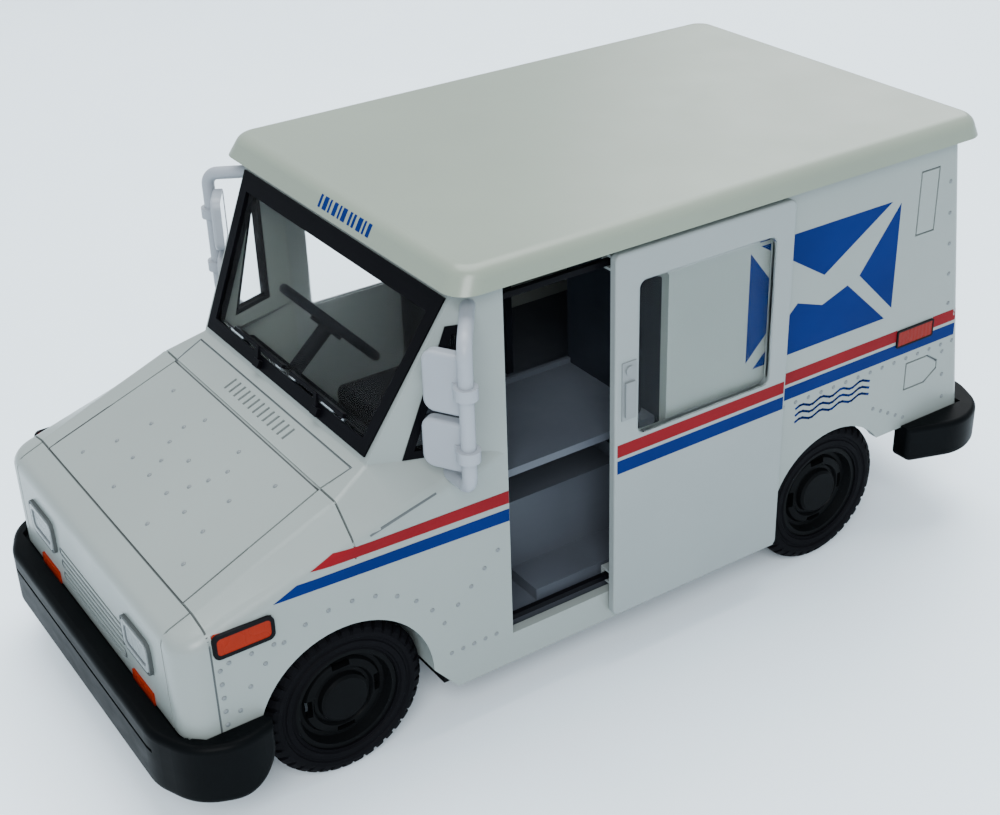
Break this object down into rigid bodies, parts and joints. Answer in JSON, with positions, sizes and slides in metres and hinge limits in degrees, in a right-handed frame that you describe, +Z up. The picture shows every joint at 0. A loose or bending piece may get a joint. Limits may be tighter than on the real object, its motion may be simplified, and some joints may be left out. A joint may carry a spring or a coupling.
{
  "type": "toy mail delivery truck",
  "caption": "Scale model of a boxy right-hand-drive mail van with sliding side doors, rolling wheels, wrap-round bumpers and tube-mounted side mirrors.",
  "frame": {"origin": "centre of the bounding box at ground level, between the tyre contact patches", "axes": "+Y towards the rear of the truck, +X towards its left side, +Z up; the truck faces -Y"},
  "size_m": [0.0654, 0.127, 0.0612],
  "materials": {
    "body_white": "gloss",
    "door_white": "gloss",
    "bumper_black": "satin",
    "pan_black": "matte",
    "cab_grey": "matte",
    "seat_black": "matte",
    "gasket_black": "matte",
    "clear_pane": "clear gloss",
    "lamp_clear": "gloss",
    "lamp_amber": "gloss",
    "lamp_red": "gloss",
    "mirror_grey": "gloss",
    "mirror_glass": "mirror",
    "tyre_black": "matte",
    "rim_black": "satin",
    "steel": "satin",
    "latch_grey": "satin",
    "trim_black": "satin"
  },
  "bodies": {
    "truck": {"body_shell": "body_white", "bulkhead": "cab_grey", "chassis_base": "pan_black", "chassis_screws": "steel", "dashboard": "cab_grey", "door_rails_left": "trim_black", "door_rails_right": "trim_black", "driver_seat": "seat_black", "front_bumper": "bumper_black", "headlight_left": "lamp_clear", "headlight_right": "lamp_clear", "interior_tub": "cab_grey", "mail_tray": "cab_grey", "mirror_bracket_left": "mirror_grey", "mirror_bracket_right": "mirror_grey", "mirror_glasses_left": "mirror_glass", "mirror_glasses_right": "mirror_glass", "mirror_lower_left": "mirror_grey", "mirror_lower_right": "mirror_grey", "mirror_upper_left": "mirror_grey", "mirror_upper_right": "mirror_grey", "quarter_gasket_left": "gasket_black", "quarter_gasket_right": "gasket_black", "quarter_window_left": "clear_pane", "quarter_window_right": "clear_pane", "rear_bumper": "bumper_black", "rear_door": "body_white", "rear_door_handle": "trim_black", "roof_cap": "body_white", "side_marker_front_left": "lamp_amber", "side_marker_front_right": "lamp_amber", "side_marker_rear_left": "lamp_red", "side_marker_rear_right": "lamp_red", "steering_column": "seat_black", "steering_wheel": "seat_black", "tail_lamp_left": "lamp_red", "tail_lamp_right": "lamp_red", "turn_signal_left": "lamp_amber", "turn_signal_right": "lamp_amber", "windshield": "clear_pane", "windshield_gasket": "gasket_black", "wiper_left": "trim_black", "wiper_right": "trim_black"},
    "left_door": {"door_left": "door_white", "door_window_left": "clear_pane", "door_latch_left": "latch_grey"},
    "right_door": {"door_right": "door_white", "door_window_right": "clear_pane", "door_latch_right": "latch_grey"},
    "front_wheelset": {"front_axle": "steel", "front_rim_left": "rim_black", "front_rim_right": "rim_black", "front_tyre_left": "tyre_black", "front_tyre_right": "tyre_black"},
    "rear_wheelset": {"rear_axle": "steel", "rear_rim_left": "rim_black", "rear_rim_right": "rim_black", "rear_tyre_left": "tyre_black", "rear_tyre_right": "tyre_black"}
  },
  "joints": [
    {"name": "left_door_slide", "type": "slide", "parent": "truck", "child": "left_door", "axis": [0, 1, 0], "range_m": [-0.0145, 0.0058]},
    {"name": "right_door_slide", "type": "slide", "parent": "truck", "child": "right_door", "axis": [0, 1, 0], "range_m": [0, 0.0203]},
    {"name": "front_axle_spin", "type": "hinge", "parent": "truck", "child": "front_wheelset", "pos_m": [0, -0.0404, 0.0104], "axis": [1, 0, 0], "continuous": true},
    {"name": "rear_axle_spin", "type": "hinge", "parent": "truck", "child": "rear_wheelset", "pos_m": [0, 0.0344, 0.0104], "axis": [1, 0, 0], "continuous": true}
  ]
}
